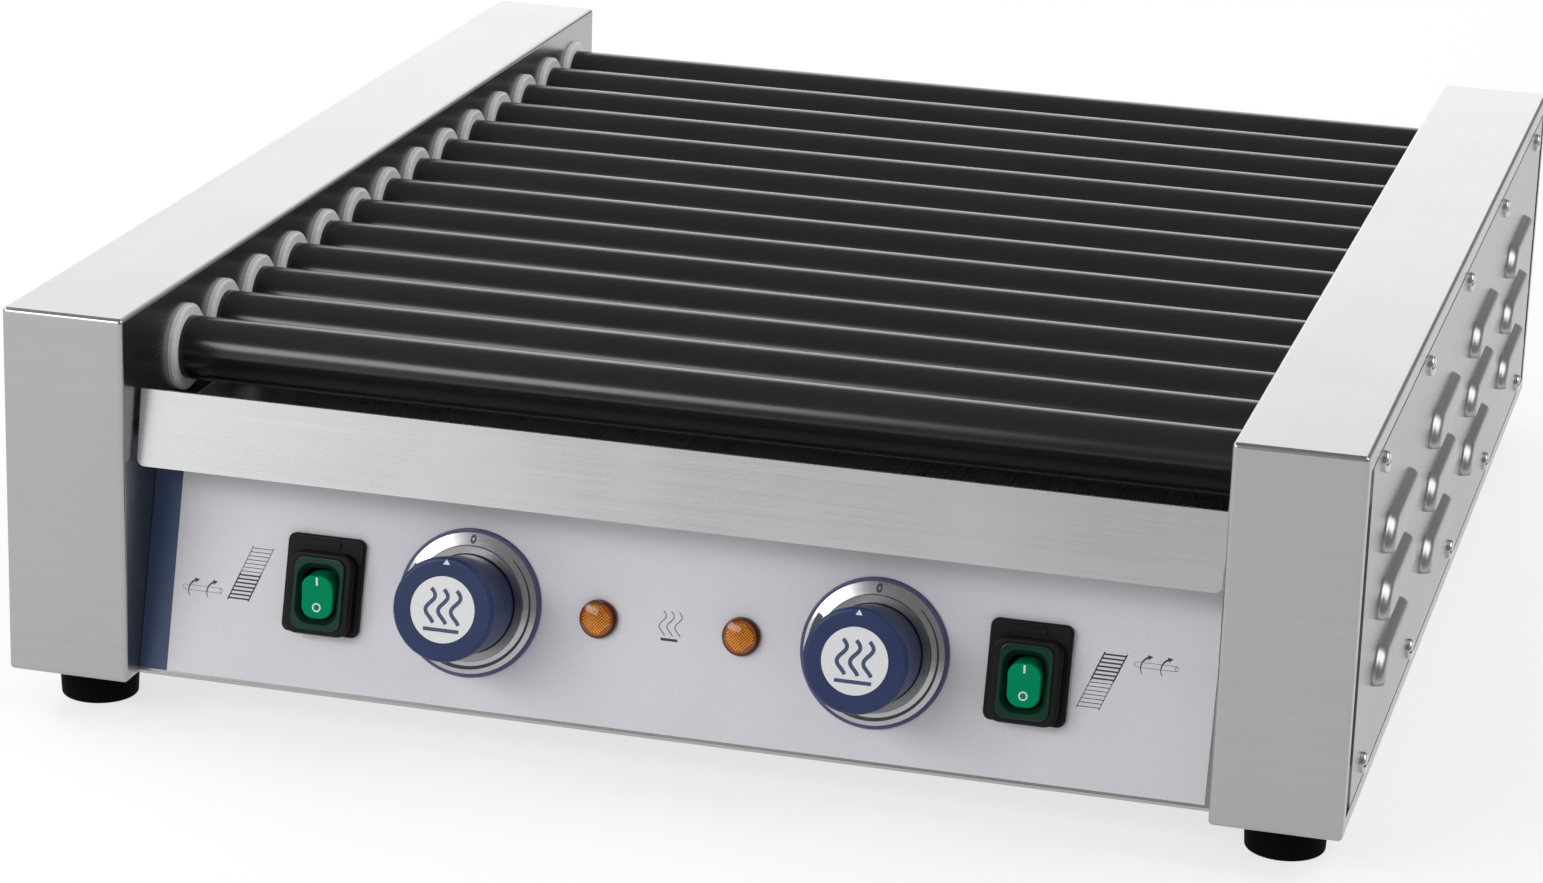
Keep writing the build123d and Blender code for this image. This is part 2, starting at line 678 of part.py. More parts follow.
def drip_tray():
    """The slide-out tray under the rollers with its sloping front lip."""
    hem_height = 9
    lip = block(-LIP_HALF, LIP_HALF, 0, LIP_HEIGHT, -SHEET, 0)
    lower = lip.edges().filter_by(Axis.Z).group_by(Axis.Y)[0]
    lip = fillet(lower, LIP_CORNER)
    hem = block(
        -LIP_HALF, LIP_HALF, LIP_HEIGHT - hem_height, LIP_HEIGHT, -2 * SHEET, -SHEET / 2
    )
    floor_top = TRAY_FLOOR + SHEET
    front = LIP_Y + (TRAY_FLOOR - LIP_Z) * math.tan(math.radians(LIP_TILT)) + 0.3
    pieces = [
        LIP * hem,
        block(-TRAY_HALF, TRAY_HALF, front, TRAY_BACK, TRAY_FLOOR, floor_top),
        block(-TRAY_HALF, TRAY_HALF, TRAY_BACK - SHEET, TRAY_BACK, TRAY_FLOOR, TRAY_RIM),
    ]
    for side in (-1, 1):
        edge = side * (TRAY_HALF - SHEET / 2)
        wall = block(
            edge - SHEET / 2, edge + SHEET / 2, front + 1.5, TRAY_BACK, TRAY_FLOOR, TRAY_RIM
        )
        pieces.append(wall)
    return merged(LIP * lip, pieces)


def tray_rail():
    """The angle on the right inner wall that carries the tray."""
    top = TRAY_FLOOR - 0.3
    front, back = -242, 268
    shelf = block(WALL_OUT - 15, WALL_OUT, front, back, top - SHEET, top)
    leg = block(WALL_OUT - SHEET, WALL_OUT, front, back, top - 12, top)
    return merged(shelf, [leg])


def rear_panel():
    """The stepped rear sheet: vent slots low down, a guard behind the last roller on top."""
    low_in, high_in = REAR_LOW_Y - SHEET, REAR_HIGH_Y - SHEET
    shelf_in = REAR_SHELF - SHEET
    hem_height = 8
    low = block(-SHEET_HALF, SHEET_HALF, low_in, REAR_LOW_Y, PANEL_Z, REAR_SHELF)
    shelf = block(-SHEET_HALF, SHEET_HALF, low_in, REAR_HIGH_Y, shelf_in, REAR_SHELF)
    guard = block(-SHEET_HALF, SHEET_HALF, high_in, REAR_HIGH_Y, shelf_in, REAR_TOP)
    hem = block(
        -SHEET_HALF, SHEET_HALF, high_in - SHEET, high_in + SHEET / 2, REAR_TOP - hem_height, REAR_TOP
    )
    slot = Rot(90, 0, 0) * rounded(46, 4, 1.9, -5, 5)
    slots = [
        Pos(column * 62, REAR_LOW_Y, 44 + row * 11) * slot for column in range(3) for row in range(5)
    ]
    gland_hole = rod_y(GLAND_THREAD_R + 0.05, low_in - 1, REAR_LOW_Y + 1, GLAND_X, GLAND_Z)
    return merged(low, [shelf, guard, hem]) - slots - gland_hole


def base_pan():
    """The bottom sheet between the housings with vent slots and upturned sides."""
    front, back = PANEL_Y + 3, REAR_LOW_Y - SHEET - FIT_GAP
    side_height = 12
    floor = block(-SHEET_HALF, SHEET_HALF, front, back, BASE_Z, BASE_Z + SHEET)
    edge = SHEET_HALF - SHEET / 2
    wall = block(-SHEET / 2, SHEET / 2, front + 12, back, BASE_Z, BASE_Z + side_height)
    slot = Pos(0, 0, BASE_Z) * rounded(70, 5, 2.4, -3, 3)
    slots = [
        Pos(column * 110, row * 14, 0) * slot for column in (-1, 0, 1) for row in range(-7, 8)
    ]
    return merged(floor, [Pos(side * edge, 0, 0) * wall for side in (-1, 1)]) - slots


def foot(x, y):
    """A tapered rubber foot, hollow under its screw."""
    shape = Pos(x, y, FOOT_HEIGHT / 2) * Cone(FOOT_BOTTOM_R, FOOT_TOP_R, FOOT_HEIGHT)
    shape = fillet(shape.edges().sort_by(Axis.Z)[0], 1.0)
    hollow = rod_z(7, -1, FOOT_WEB, x, y)
    return shape - hollow - rod_z(FOOT_HOLE_R, FOOT_WEB - 1, FOOT_HEIGHT + 1, x, y)


def foot_screw(x, y):
    """The screw that holds a foot to the housing's floor, with its nut."""
    head_low = FOOT_WEB - 3
    head = fillet(rod_z(5.0, head_low, FOOT_WEB, x, y).edges().sort_by(Axis.Z)[0], 1.0)
    shank = rod_z(FOOT_HOLE_R - FIT_GAP, FOOT_WEB - 0.5, CASE_BOTTOM + 9, x, y)
    nut = Pos(x, y, CASE_BOTTOM + SHEET) * extrude(RegularPolygon(4.6, 6), 4)
    recess = block(x - 3, x + 3, y - 0.6, y + 0.6, head_low - 1, head_low + 1.2)
    return merged(head, [shank, nut]) - recess


def cable_gland():
    """A screwed cable inlet through the rear panel."""
    thread_end, dome_end = -12, 17
    hexagon = Rot(90, 0, 0) * extrude(RegularPolygon(12, 6), -5)
    dome = fillet(rod_y(10.4, 4, dome_end).edges().sort_by(Axis.Y)[-1], 3)
    thread = rod_y(GLAND_THREAD_R, thread_end, 1)
    nut = Pos(0, -SHEET, 0) * Rot(90, 0, 0) * extrude(RegularPolygon(12, 6), 4)
    bore = rod_y(GLAND_BORE_R, thread_end - 1, dome_end + 1)
    return Pos(GLAND_X, REAR_LOW_Y, GLAND_Z) * (merged(hexagon, [dome, thread, nut]) - bore)


def terminal_block():
    """The screw terminals that the supply wires end in, on the base pan."""
    ways, pitch, half_depth, height = 6, 12, 10, 20
    base = BASE_Z + SHEET
    centre_y = REAR_LOW_Y - 38
    centres = [GLAND_X + (way - (ways - 1) / 2) * pitch for way in range(ways)]
    half = ways * pitch / 2
    shape = block(
        GLAND_X - half, GLAND_X + half, centre_y - half_depth, centre_y + half_depth, base, base + height
    )
    shape = fillet(shape.edges().filter_by(Axis.Y), 1.5)
    wells = [rod_z(3, base + 9, base + height + 1, x, centre_y) for x in centres]
    ends = (centre_y - half_depth - 1, centre_y + half_depth + 1)
    mouths = [rod_y(2.5, *ends, x, base + 6) for x in centres]
    return shape - wells - mouths


# ---------------------------------------------------------------- all the files


def both_sides(shape):
    """A piece of the right side with its mirror image, as two solids."""
    return [mirrored(shape), shape]


def main():
    os.makedirs("parts", exist_ok=True)
    sides = (-1, 1)
    corners = [(sx * FOOT_X, sy * FOOT_Y) for sx in sides for sy in sides]

    write("left_housing", mirrored(housing(drive_side=False)))
    write("right_housing", housing(drive_side=True))
    cover = side_cover()
    write("left_side_cover", mirrored(cover))
    write("right_side_cover", cover)
    screws = [cover_screw(y, z) for y, z in screw_places()]
    write("cover_screws", *screws, *[mirrored(screw) for screw in screws])

    for index in range(ROLLERS):
        number = f"{index + 1:02d}"
        write("roller_" + number, roller(roller_y(index)))
        write("roller_sprocket_" + number, roller_sprocket(roller_y(index)))
    bushings = [bushing(roller_y(index)) for index in range(ROLLERS)]
    write("roller_bushings", *bushings, *[mirrored(bush) for bush in bushings])
    write("heating_elements", *[heating_element(roller_y(index)) for index in range(ROLLERS)])
    write("element_brackets", *both_sides(element_bracket()))

    front_y, rear_y = drive_places()
    write("front_drive_sprocket", *drive_sprocket(front_y))
    write("rear_drive_sprocket", *drive_sprocket(rear_y))
    write("gear_motors", gear_motor(front_y), gear_motor(rear_y))
    write("drive_chains", chain(0), chain(GROUP))

    write("front_panel", front_panel())
    write("panel_label", panel_label())
    write("switch_frames", *[switch_frame(side * SWITCH_X) for side in sides])
    write("switch_boots", *[switch_boot(side * SWITCH_X) for side in sides])
    write("left_rocker", rocker(-SWITCH_X))
    write("right_rocker", rocker(SWITCH_X))
    write("dial_skirts", *[dial_skirt(side * KNOB_X) for side in sides])
    write("dial_rings", *[dial_ring(side * KNOB_X) for side in sides])
    write("left_knob", *knob(-KNOB_X))
    write("right_knob", *knob(KNOB_X))
    write("thermostats", *[thermostat(side * KNOB_X) for side in sides])
    write("pilot_lamps", *[pilot_lamp(side * LAMP_X) for side in sides])

    write("drip_tray", drip_tray())
    write("tray_rails", *both_sides(tray_rail()))
    write("rear_panel", rear_panel())
    write("base_pan", base_pan())
    write("feet", *[foot(x, y) for x, y in corners])
    write("foot_screws", *[foot_screw(x, y) for x, y in corners])
    write("cable_gland", cable_gland())
    write("terminal_block", terminal_block())


main()
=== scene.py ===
import json
import math

import bmesh
import bpy
from mathutils import Matrix, Vector


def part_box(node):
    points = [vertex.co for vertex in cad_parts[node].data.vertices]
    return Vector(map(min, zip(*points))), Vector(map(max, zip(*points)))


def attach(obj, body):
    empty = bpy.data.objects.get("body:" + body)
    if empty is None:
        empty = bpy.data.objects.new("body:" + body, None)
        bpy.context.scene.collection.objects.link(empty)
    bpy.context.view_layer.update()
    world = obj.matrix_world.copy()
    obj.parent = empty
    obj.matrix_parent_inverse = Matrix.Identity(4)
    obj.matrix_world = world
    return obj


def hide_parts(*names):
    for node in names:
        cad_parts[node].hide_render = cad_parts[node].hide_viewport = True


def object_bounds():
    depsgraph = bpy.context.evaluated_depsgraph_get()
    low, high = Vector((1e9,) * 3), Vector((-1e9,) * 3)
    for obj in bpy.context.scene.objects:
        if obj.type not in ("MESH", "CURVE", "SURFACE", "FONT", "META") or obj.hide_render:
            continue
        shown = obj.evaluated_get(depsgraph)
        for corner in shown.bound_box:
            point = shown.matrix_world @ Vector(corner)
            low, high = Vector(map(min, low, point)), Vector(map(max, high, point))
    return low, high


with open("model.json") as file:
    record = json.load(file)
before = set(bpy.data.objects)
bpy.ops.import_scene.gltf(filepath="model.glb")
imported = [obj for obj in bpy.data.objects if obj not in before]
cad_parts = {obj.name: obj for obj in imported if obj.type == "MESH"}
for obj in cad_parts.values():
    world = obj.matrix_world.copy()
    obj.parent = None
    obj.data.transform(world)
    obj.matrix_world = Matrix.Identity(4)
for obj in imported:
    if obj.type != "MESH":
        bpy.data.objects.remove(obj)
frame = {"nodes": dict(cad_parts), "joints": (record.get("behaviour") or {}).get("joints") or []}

MM = 0.001
CAD_LOW, CAD_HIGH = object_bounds()
NODES = frame["nodes"]
JOINTS = {joint["name"]: joint for joint in frame["joints"]}

# The middle between the side housings, halfway up
AIM = (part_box("left_housing")[0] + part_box("right_housing")[1]) / 2
AIM.z = (CAD_LOW.z + CAD_HIGH.z) / 2

# Camera: angles in degrees, lengths in metres
CAMERA_AZIMUTH = 14.76
CAMERA_ELEVATION = 17.83
CAMERA_ROLL = 1.83
CAMERA_DISTANCE = 1.933
CAMERA_LENS = 104.8
CAMERA_ASIDE = -0.0346
CAMERA_RAISED = -0.0298

# Thickness of printed marks, width of the navy band and radius of a lamp, in millimetres
INK = 0.05
BAND_WIDTH = 11.3
LAMP_R = 7.4

# How far a lamp's dome and its prisms stay inside the lamp's edge
DOME_RIM = 1.2
PRISM_RIM = 2.4

# How far over the panel the search for a face starts
PROBE_HEIGHT = 60

# How far a steel face must look forward or back for its grain to run along X
FACING_FRONT = 0.6

# Louvres in the side covers, in millimetres; the profile is inset from the edge, then height
COVER_SHEET = 1.0
LOUVRE_COLUMNS = (-1.5, -0.5, 0.5, 1.5)
LOUVRE_PITCH = 132.0
LOUVRE_ROWS = (56.5, 82.5, 108.5)
LOUVRE_LENGTH = 78.0
LOUVRE_HEIGHT = 13.0
LOUVRE_END_STEPS = 10
LOUVRE_PROFILE = ((0, 0), (0.4, 1.2), (1.0, 2.4), (1.9, 3.5), (3.0, 4.05), (4.2, 4.2))

# The two pictograms of each kind: X along the panel, and height over the knobs' row
BED_MARKS = ((-168.5, 0.7, range(7)), (165.3, 0.0, range(7, 14)))
TURNING_MARKS = ((-187.4, -7.3), (185, 7.7))
THIN_LINE = 0.26
BOLD_LINE = 0.62
BOLD_RAIL = 0.5

# On a knob's face: the disc's radius, and the pointer's left and right edges from its foot up
KNOB_DISC_R = 12.6
POINTER = (((-1.3, 17.0), (0, 19.0)), ((1.3, 17.0), (0.02, 19.0)))

# How far a rocker's bar lies above its middle, and its ring below
ROCKER_BAR = 5.0
ROCKER_RING = 5.2

# The heat scale's radius on a dial ring, and where it starts and ends, clockwise from the top
SCALE_R = 24.6
SCALE_START = 42
SCALE_END = 300

# Light that comes through the studio floor, as on a lit table
FLOOR_GLOW = 0.68
FLOOR_HALF = 15.0
WORLD_LIGHT = 0.31

# Soft lights: name, azimuth, elevation, distance, width, height, radiance
SOFT_BOXES = (
    ("back_wall", -165, 15, 2.6, 2.2, 1.6, 1.45),
    ("key", -33, 26, 2.2, 1.5, 0.6, 7.4),
    ("front_fill", -38, 5, 2.2, 1.5, 0.7, 0.85),
    ("left_side", -92, 38, 2.2, 1.6, 1.2, 3.0),
    ("right_side", 92, 45, 2.2, 1.6, 1.6, 2.8),
)


# ---------------------------------------------------------------- material building


class Finish:
    """A material around one Principled shader, with short calls for the nodes that feed it."""

    def __init__(self, name, colour, roughness, **constants):
        self.material = bpy.data.materials.new(name)
        self.material.use_nodes = True
        self.nodes = self.material.node_tree.nodes
        self.links = self.material.node_tree.links
        self.shader = self.nodes["Principled BSDF"]
        self.colour = colour
        self.shader.inputs["Base Color"].default_value = (*colour, 1)
        self.shader.inputs["Roughness"].default_value = roughness
        for socket, value in constants.items():
            self.shader.inputs[socket.replace("_", " ")].default_value = value
        self.height = None

    def add(self, kind, **settings):
        node = self.nodes.new(kind)
        for key, value in settings.items():
            setattr(node, key, value)
        return node

    def place(self, scale, turn=(0, 0, 0)):
        """Object coordinates in metres, scaled, so a pattern keeps to the piece as it moves."""
        source = self.add("ShaderNodeTexCoord")
        mapping = self.add("ShaderNodeMapping")
        mapping.inputs["Scale"].default_value = scale
        mapping.inputs["Rotation"].default_value = turn
        self.links.new(source.outputs["Object"], mapping.inputs["Vector"])
        return mapping.outputs["Vector"]

    def noise(self, where, detail=3.0, scale=1.0, rough=0.6):
        node = self.add("ShaderNodeTexNoise")
        node.inputs["Scale"].default_value = scale
        node.inputs["Detail"].default_value = detail
        node.inputs["Roughness"].default_value = rough
        self.links.new(where, node.inputs["Vector"])
        return node.outputs["Fac"]

    def ranged(self, value, low, high, start=0.3, end=0.7):
        node = self.add("ShaderNodeMapRange")
        node.inputs["From Min"].default_value = start
        node.inputs["From Max"].default_value = end
        node.inputs["To Min"].default_value = low
        node.inputs["To Max"].default_value = high
        self.links.new(value, node.inputs["Value"])
        return node.outputs["Result"]

    def math(self, operation, first, second):
        node = self.add("ShaderNodeMath", operation=operation)
        for socket, value in zip(node.inputs, (first, second)):
            if isinstance(value, (int, float)):
                socket.default_value = value
            else:
                self.links.new(value, socket)
        return node.outputs["Value"]

    def product(self, *factors):
        result = factors[0]
        for factor in factors[1:]:
            result = self.math("MULTIPLY", result, factor)
        return result

    def shade(self, factor):
        """The base colour times a varying factor."""
        node = self.add("ShaderNodeVectorMath", operation="SCALE")
        node.inputs[0].default_value = self.colour
        self.links.new(factor, node.inputs["Scale"])
        self.links.new(node.outputs["Vector"], self.shader.inputs["Base Color"])

    def rough(self, value):
        self.links.new(value, self.shader.inputs["Roughness"])

    def bump(self, height, strength, distance):
        """Relief, in metres; a second call adds to the first."""
        node = self.add("ShaderNodeBump")
        node.inputs["Strength"].default_value = strength
        node.inputs["Distance"].default_value = distance
        self.links.new(height, node.inputs["Height"])
        if self.height is not None:
            self.links.new(self.height, node.inputs["Normal"])
        self.height = node.outputs["Normal"]
        self.links.new(self.height, self.shader.inputs["Normal"])


def grain_place(finish, fine, long):
    """Grain along Y, but along X on faces that look forward or back."""
    source = finish.add("ShaderNodeTexCoord")
    split = finish.add("ShaderNodeSeparateXYZ")
    finish.links.new(source.outputs["Normal"], split.inputs["Vector"])
    facing = finish.math("ABSOLUTE", split.outputs["Y"], 0)
    facing = finish.math("GREATER_THAN", facing, FACING_FRONT)
    mix = finish.add("ShaderNodeMix", data_type="VECTOR")
    finish.links.new(facing, mix.inputs["Factor"])
    finish.links.new(finish.place((fine, long, fine)), mix.inputs[4])
    finish.links.new(finish.place((long, fine, fine)), mix.inputs[5])
    return mix.outputs[1]


def brushed_steel(name, colour, roughness, depth=0.04):
    """Stainless sheet: fine brushing and faint clouding."""
    finish = Finish(name, colour, roughness, Metallic=1.0)
    fine = finish.noise(grain_place(finish, 1500, 9), 4)
    coarse = finish.noise(grain_place(finish, 330, 3), 2)
    cloud = finish.noise(finish.place((14, 14, 14)), 3)
    finish.shade(
        finish.product(
            finish.ranged(fine, 0.98, 1.02),
            finish.ranged(coarse, 0.99, 1.01),
            finish.ranged(cloud, 0.985, 1.015),
        )
    )
    streaks = finish.ranged(fine, -0.015, 0.015)
    wear = finish.math("ADD", streaks, finish.ranged(cloud, -0.015, 0.02))
    finish.rough(finish.math("ADD", wear, roughness))
    finish.bump(fine, depth, 0.00004)
    finish.bump(cloud, 0.04, 0.0004)
    return finish.material


def moulded_plastic(name, colour, roughness, grain=900, depth=0.25, **constants):
    """A moulding with fine spark texture and slight unevenness."""
    finish = Finish(name, colour, roughness, **constants)
    fine = finish.noise(finish.place((grain, grain, grain)), 3)
    broad = finish.noise(finish.place((60, 60, 60)), 2)
    finish.shade(finish.product(finish.ranged(fine, 0.93, 1.07), finish.ranged(broad, 0.95, 1.05)))
    finish.rough(finish.math("ADD", finish.ranged(broad, -0.05, 0.06), roughness))
    finish.bump(fine, depth, 0.00005)
    return finish.material


def roller_coating():
    """Black non-stick coating with a very fine turned texture and a few dull patches."""
    finish = Finish("roller_coating", (0.0085, 0.0085, 0.009), 0.2, Specular_IOR_Level=0.45)
    speck = finish.noise(finish.place((700, 700, 700)), 3)
    patch = finish.noise(finish.place((16, 60, 60)), 3)
    finish.shade(finish.product(finish.ranged(speck, 0.85, 1.15), finish.ranged(patch, 0.9, 1.15)))
    finish.rough(finish.ranged(patch, 0.185, 0.235))
    finish.bump(speck, 0.03, 0.00003)
    return finish.material


def label_film():
    """Printed polyester film with a fine emboss."""
    finish = Finish("label_film", (0.565, 0.56, 0.597), 0.45, Specular_IOR_Level=0.3)
    emboss = finish.noise(finish.place((1100, 1100, 1100)), 2)
    cloud = finish.noise(finish.place((25, 25, 25)), 2)
    tone = finish.ranged(cloud, 0.985, 1.015)
    finish.shade(finish.product(finish.ranged(emboss, 0.97, 1.03), tone))
    finish.rough(finish.ranged(cloud, 0.38, 0.48))
    finish.bump(emboss, 0.12, 0.00004)
    return finish.material


def printed(name, colour, roughness=0.45):
    """Screen-printed ink, slightly uneven in density."""
    finish = Finish(name, colour, roughness)
    density = finish.noise(finish.place((800, 800, 800)), 3)
    finish.shade(finish.ranged(density, 0.97, 1.03))
    finish.rough(finish.ranged(density, roughness - 0.06, roughness + 0.08))
    finish.bump(density, 0.15, 0.00003)
    return finish.material


def turned_metal(name, colour, roughness, depth=0.2):
    """Spun or turned metal with fine tool lines and small scratches."""
    finish = Finish(name, colour, roughness, Metallic=1.0)
    lines = finish.noise(finish.place((900, 900, 900)), 4)
    dull = finish.noise(finish.place((120, 120, 120)), 3)
    finish.shade(finish.product(finish.ranged(lines, 0.98, 1.02), finish.ranged(dull, 0.97, 1.02)))
    finish.rough(finish.math("ADD", finish.ranged(dull, -0.01, 0.02), roughness))
    finish.bump(lines, depth, 0.00003)
    return finish.material


def amber(name, colour, roughness):
    """Clear amber plastic, a little darker in patches."""
    finish = Finish(name, colour, roughness, Specular_IOR_Level=0.35, Coat_Weight=0.15)
    depth = finish.noise(finish.place((160, 160, 160)), 2)
    finish.shade(finish.ranged(depth, 0.8, 1.15))
    finish.rough(finish.ranged(depth, roughness - 0.04, roughness + 0.06))
    finish.bump(depth, 0.05, 0.0001)
    return finish.material


MATERIALS = {
    "housing": brushed_steel("housing_steel", (0.385, 0.385, 0.385), 0.25),
    "cover": brushed_steel("cover_steel", (0.36, 0.36, 0.36), 0.3, 0.02),
    "tray": brushed_steel("tray_steel", (0.60, 0.60, 0.60), 0.28, 0.02),
    "inner": brushed_steel("inner_steel", (0.40, 0.40, 0.40), 0.34, 0.1),
    "roller": roller_coating(),
    "bushing": moulded_plastic("bushing_plastic", (0.82, 0.82, 0.81), 0.42, 700, 0.06),
    "label": label_film(),
    "knob": moulded_plastic(
        "knob_navy", (0.015, 0.027, 0.084), 0.38, 1200, 0.08, Specular_IOR_Level=0.25
    ),
    "skirt": moulded_plastic(
        "skirt_navy", (0.058, 0.058, 0.14), 0.36, 1200, 0.1, Specular_IOR_Level=0.4
    ),
    "dial": turned_metal("dial_silver", (0.40, 0.40, 0.41), 0.22, 0.01),
    "black": moulded_plastic(
        "black_plastic", (0.004, 0.004, 0.0042), 0.5, 1300, 0.2, Specular_IOR_Level=0.15
    ),
    "boot": moulded_plastic(
        "boot_green", (0.002, 0.026, 0.015), 0.25, 900, 0.05, Specular_IOR_Level=0.25
    ),
    "rocker": moulded_plastic(
        "rocker_green", (0.0, 0.20, 0.085), 0.3, 900, 0.05, Specular_IOR_Level=0.03
    ),
    "lamp": amber("lamp_rim", (0.085, 0.022, 0.006), 0.16),
    "lens": amber("lamp_lens", (0.27, 0.066, 0.004), 0.14),
    # painted highlight: the prisms are the lens's clear amber made several times brighter, standing
    # in for light caught in their facets
    "prism": amber("lamp_prism_painted_glint", (0.92, 0.38, 0.02), 0.2),
    "foot": moulded_plastic(
        "foot_rubber", (0.002, 0.002, 0.002), 0.7, 1500, 0.3, Specular_IOR_Level=0.03
    ),
    "screw": turned_metal("screw_steel", (0.60, 0.60, 0.60), 0.2),
    "chain": turned_metal("chain_steel", (0.30, 0.30, 0.31), 0.35),
    "element": turned_metal("element_steel", (0.36, 0.33, 0.29), 0.4),
    "motor": moulded_plastic("motor_paint", (0.10, 0.10, 0.11), 0.45, 800, 0.3),
    "white_ink": printed("white_ink", (0.60, 0.60, 0.61)),
    "black_ink": printed("black_ink", (0.016, 0.016, 0.018)),
    "grey_ink": printed("grey_ink", (0.17, 0.17, 0.185)),
    "navy_ink": printed("navy_ink", (0.024, 0.046, 0.110), 0.4),
}

NODE_FINISHES = {
    "housing": ["left_housing", "right_housing", "rear_panel", "front_panel"],
    "cover": ["left_side_cover", "right_side_cover"],
    "tray": ["drip_tray"],
    "inner": ["base_pan", "tray_rails", "element_brackets"],
    "bushing": ["roller_bushings", "terminal_block"],
    "label": ["panel_label"],
    "knob": ["left_knob", "right_knob"],
    "skirt": ["dial_skirts"],
    "dial": ["dial_rings"],
    "black": ["switch_frames", "cable_gland"],
    "boot": ["switch_boots"],
    "rocker": ["left_rocker", "right_rocker"],
    "lamp": ["pilot_lamps"],
    "foot": ["feet"],
    "screw": ["cover_screws", "foot_screws", "thermostats"],
    "chain": ["drive_chains", "front_drive_sprocket", "rear_drive_sprocket"],
    "element": ["heating_elements"],
    "motor": ["gear_motors"],
}


def finish_nodes():
    """Gives every CAD node its finish."""
    chosen = {node: key for key, nodes in NODE_FINISHES.items() for node in nodes}
    for name, node in NODES.items():
        if name.startswith("roller_sprocket"):
            key = "chain"
        elif name.startswith("roller_") and name not in chosen:
            key = "roller"
        else:
            key = chosen[name]
        node.data.materials.clear()
        node.data.materials.append(MATERIALS[key])


# ---------------------------------------------------------------- places on the panel


def panel_axes():
    """The panel's axes in millimetres: X along it, Y up its slope and Z out of it."""
    outward = -Vector(JOINTS["left_knob_turn"]["axis"])
    across = Vector((1, 0, 0))
    slope = outward.cross(across)
    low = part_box("front_panel")[0]
    axes = Matrix((across, slope, outward)).transposed() * MM
    return Matrix.Translation((0, low.y, low.z)) @ axes.to_4x4()


PANEL = panel_axes()
TO_PANEL = PANEL.inverted()


def centre_of(joint):
    """A control's centre on the panel, in its millimetres."""
    place = TO_PANEL @ Vector(JOINTS[joint]["pos_m"])
    return place.x, place.y


def seat(node, x, s):
    """Axes on a node's outer face over a point of the panel, with Z along the face's normal."""
    start = PANEL @ Vector((x, s, PROBE_HEIGHT))
    inward = -PANEL.col[2].to_3d().normalized()
    hit, point, normal, _ = NODES[node].ray_cast(start, inward)
    if not hit:
        raise ValueError(f"nothing of {node} lies over {x}, {s}")
    across = Vector((1, 0, 0))
    up = normal.cross(across).normalized()
    across = up.cross(normal)
    axes = Matrix((across, up, normal)).transposed() * MM
    return Matrix.Translation(point) @ axes.to_4x4()


def level(node, x, s):
    """How far a node's face stands out from the panel there, in millimetres."""
    return (TO_PANEL @ seat(node, x, s).translation).z


def on_panel(x, s, height):
    return PANEL @ Matrix.Translation((x, s, height))


# ---------------------------------------------------------------- printed marks


def arc(radius, start, end, count=24, centre=(0, 0)):
    """Points along an arc; angles in degrees, clockwise from the top."""
    turns = [math.radians(start + (end - start) * i / (count - 1)) for i in range(count)]
    return [(centre[0] + radius * math.sin(t), centre[1] + radius * math.cos(t)) for t in turns]


def sides_of(points, widths):
    """The two edges of a line of varying width."""
    left, right = [], []
    for index, (x, y) in enumerate(points):
        before = points[max(index - 1, 0)]
        after = points[min(index + 1, len(points) - 1)]
        along = Vector((after[0] - before[0], after[1] - before[1])).normalized()
        half = widths[index] / 2
        left.append((x - along.y * half, y + along.x * half))
        right.append((x + along.y * half, y - along.x * half))
    return left, right


class Marks:
    """Thin raised marks, all in one mesh, each a closed strip between two edges.

    rise gives how far the surface under the marks stands out at a point of their place.
    """

    def __init__(self, rise=None):
        self.vertices = []
        self.faces = []
        self.rise = rise or (lambda x, y: 0.0)

    def strip(self, place, left, right, closed=False):
        count = len(left)
        base = len(self.vertices)
        for z in (INK, 0):
            for edge in (left, right):
                self.vertices += [place @ Vector((x, y, z + self.rise(x, y))) for x, y in edge]
        rows = [base + row * count for row in range(4)]
        top_left, top_right, low_left, low_right = rows
        steps = range(count if closed else count - 1)
        for i in steps:
            j = (i + 1) % count
            self.faces += [
                (top_left + i, top_right + i, top_right + j, top_left + j),
                (low_left + j, low_right + j, low_right + i, low_left + i),
                (top_left + j, low_left + j, low_left + i, top_left + i),
                (top_right + i, low_right + i, low_right + j, top_right + j),
            ]
        if not closed:
            last = count - 1
            self.faces += [
                (top_left, low_left, low_right, top_right),
                (top_right + last, low_right + last, low_left + last, top_left + last),
            ]

    def line(self, place, points, width, end_width=None):
        last = len(points) - 1
        end_width = width if end_width is None else end_width
        widths = [width + (end_width - width) * i / last for i in range(last + 1)]
        self.strip(place, *sides_of(points, widths))

    def bar(self, place, x0, x1, y0, y1):
        self.strip(place, [(x0, y1), (x1, y1)], [(x0, y0), (x1, y0)])

    def ring(self, place, outer, inner, stretch=1.0, centre=(0, 0)):
        """A ring, taller than wide when stretched."""
        turns = [2 * math.pi * i / 48 for i in range(48)]
        edges = [
            [(centre[0] + r * math.sin(t), centre[1] + r * stretch * math.cos(t)) for t in turns]
            for r in (outer, inner)
        ]
        self.strip(place, *edges, closed=True)

    def disc(self, place, radius):
        steps = 33
        self.strip(place, arc(radius, -90, 90, steps), arc(radius, 270, 90, steps))

    def piece(self, name, body, slot, material):
        mesh = bpy.data.meshes.new(name)
        mesh.from_pydata(self.vertices, [], self.faces)
        mesh.update()
        return add_piece(name, mesh, body, material)


def add_piece(name, mesh, body, material):
    """A visual piece that rides on a body and takes a finish from MATERIALS."""
    mesh.materials.append(MATERIALS[material])
    piece = bpy.data.objects.new(name, mesh)
    bpy.context.scene.collection.objects.link(piece)
    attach(piece, body)
    return piece


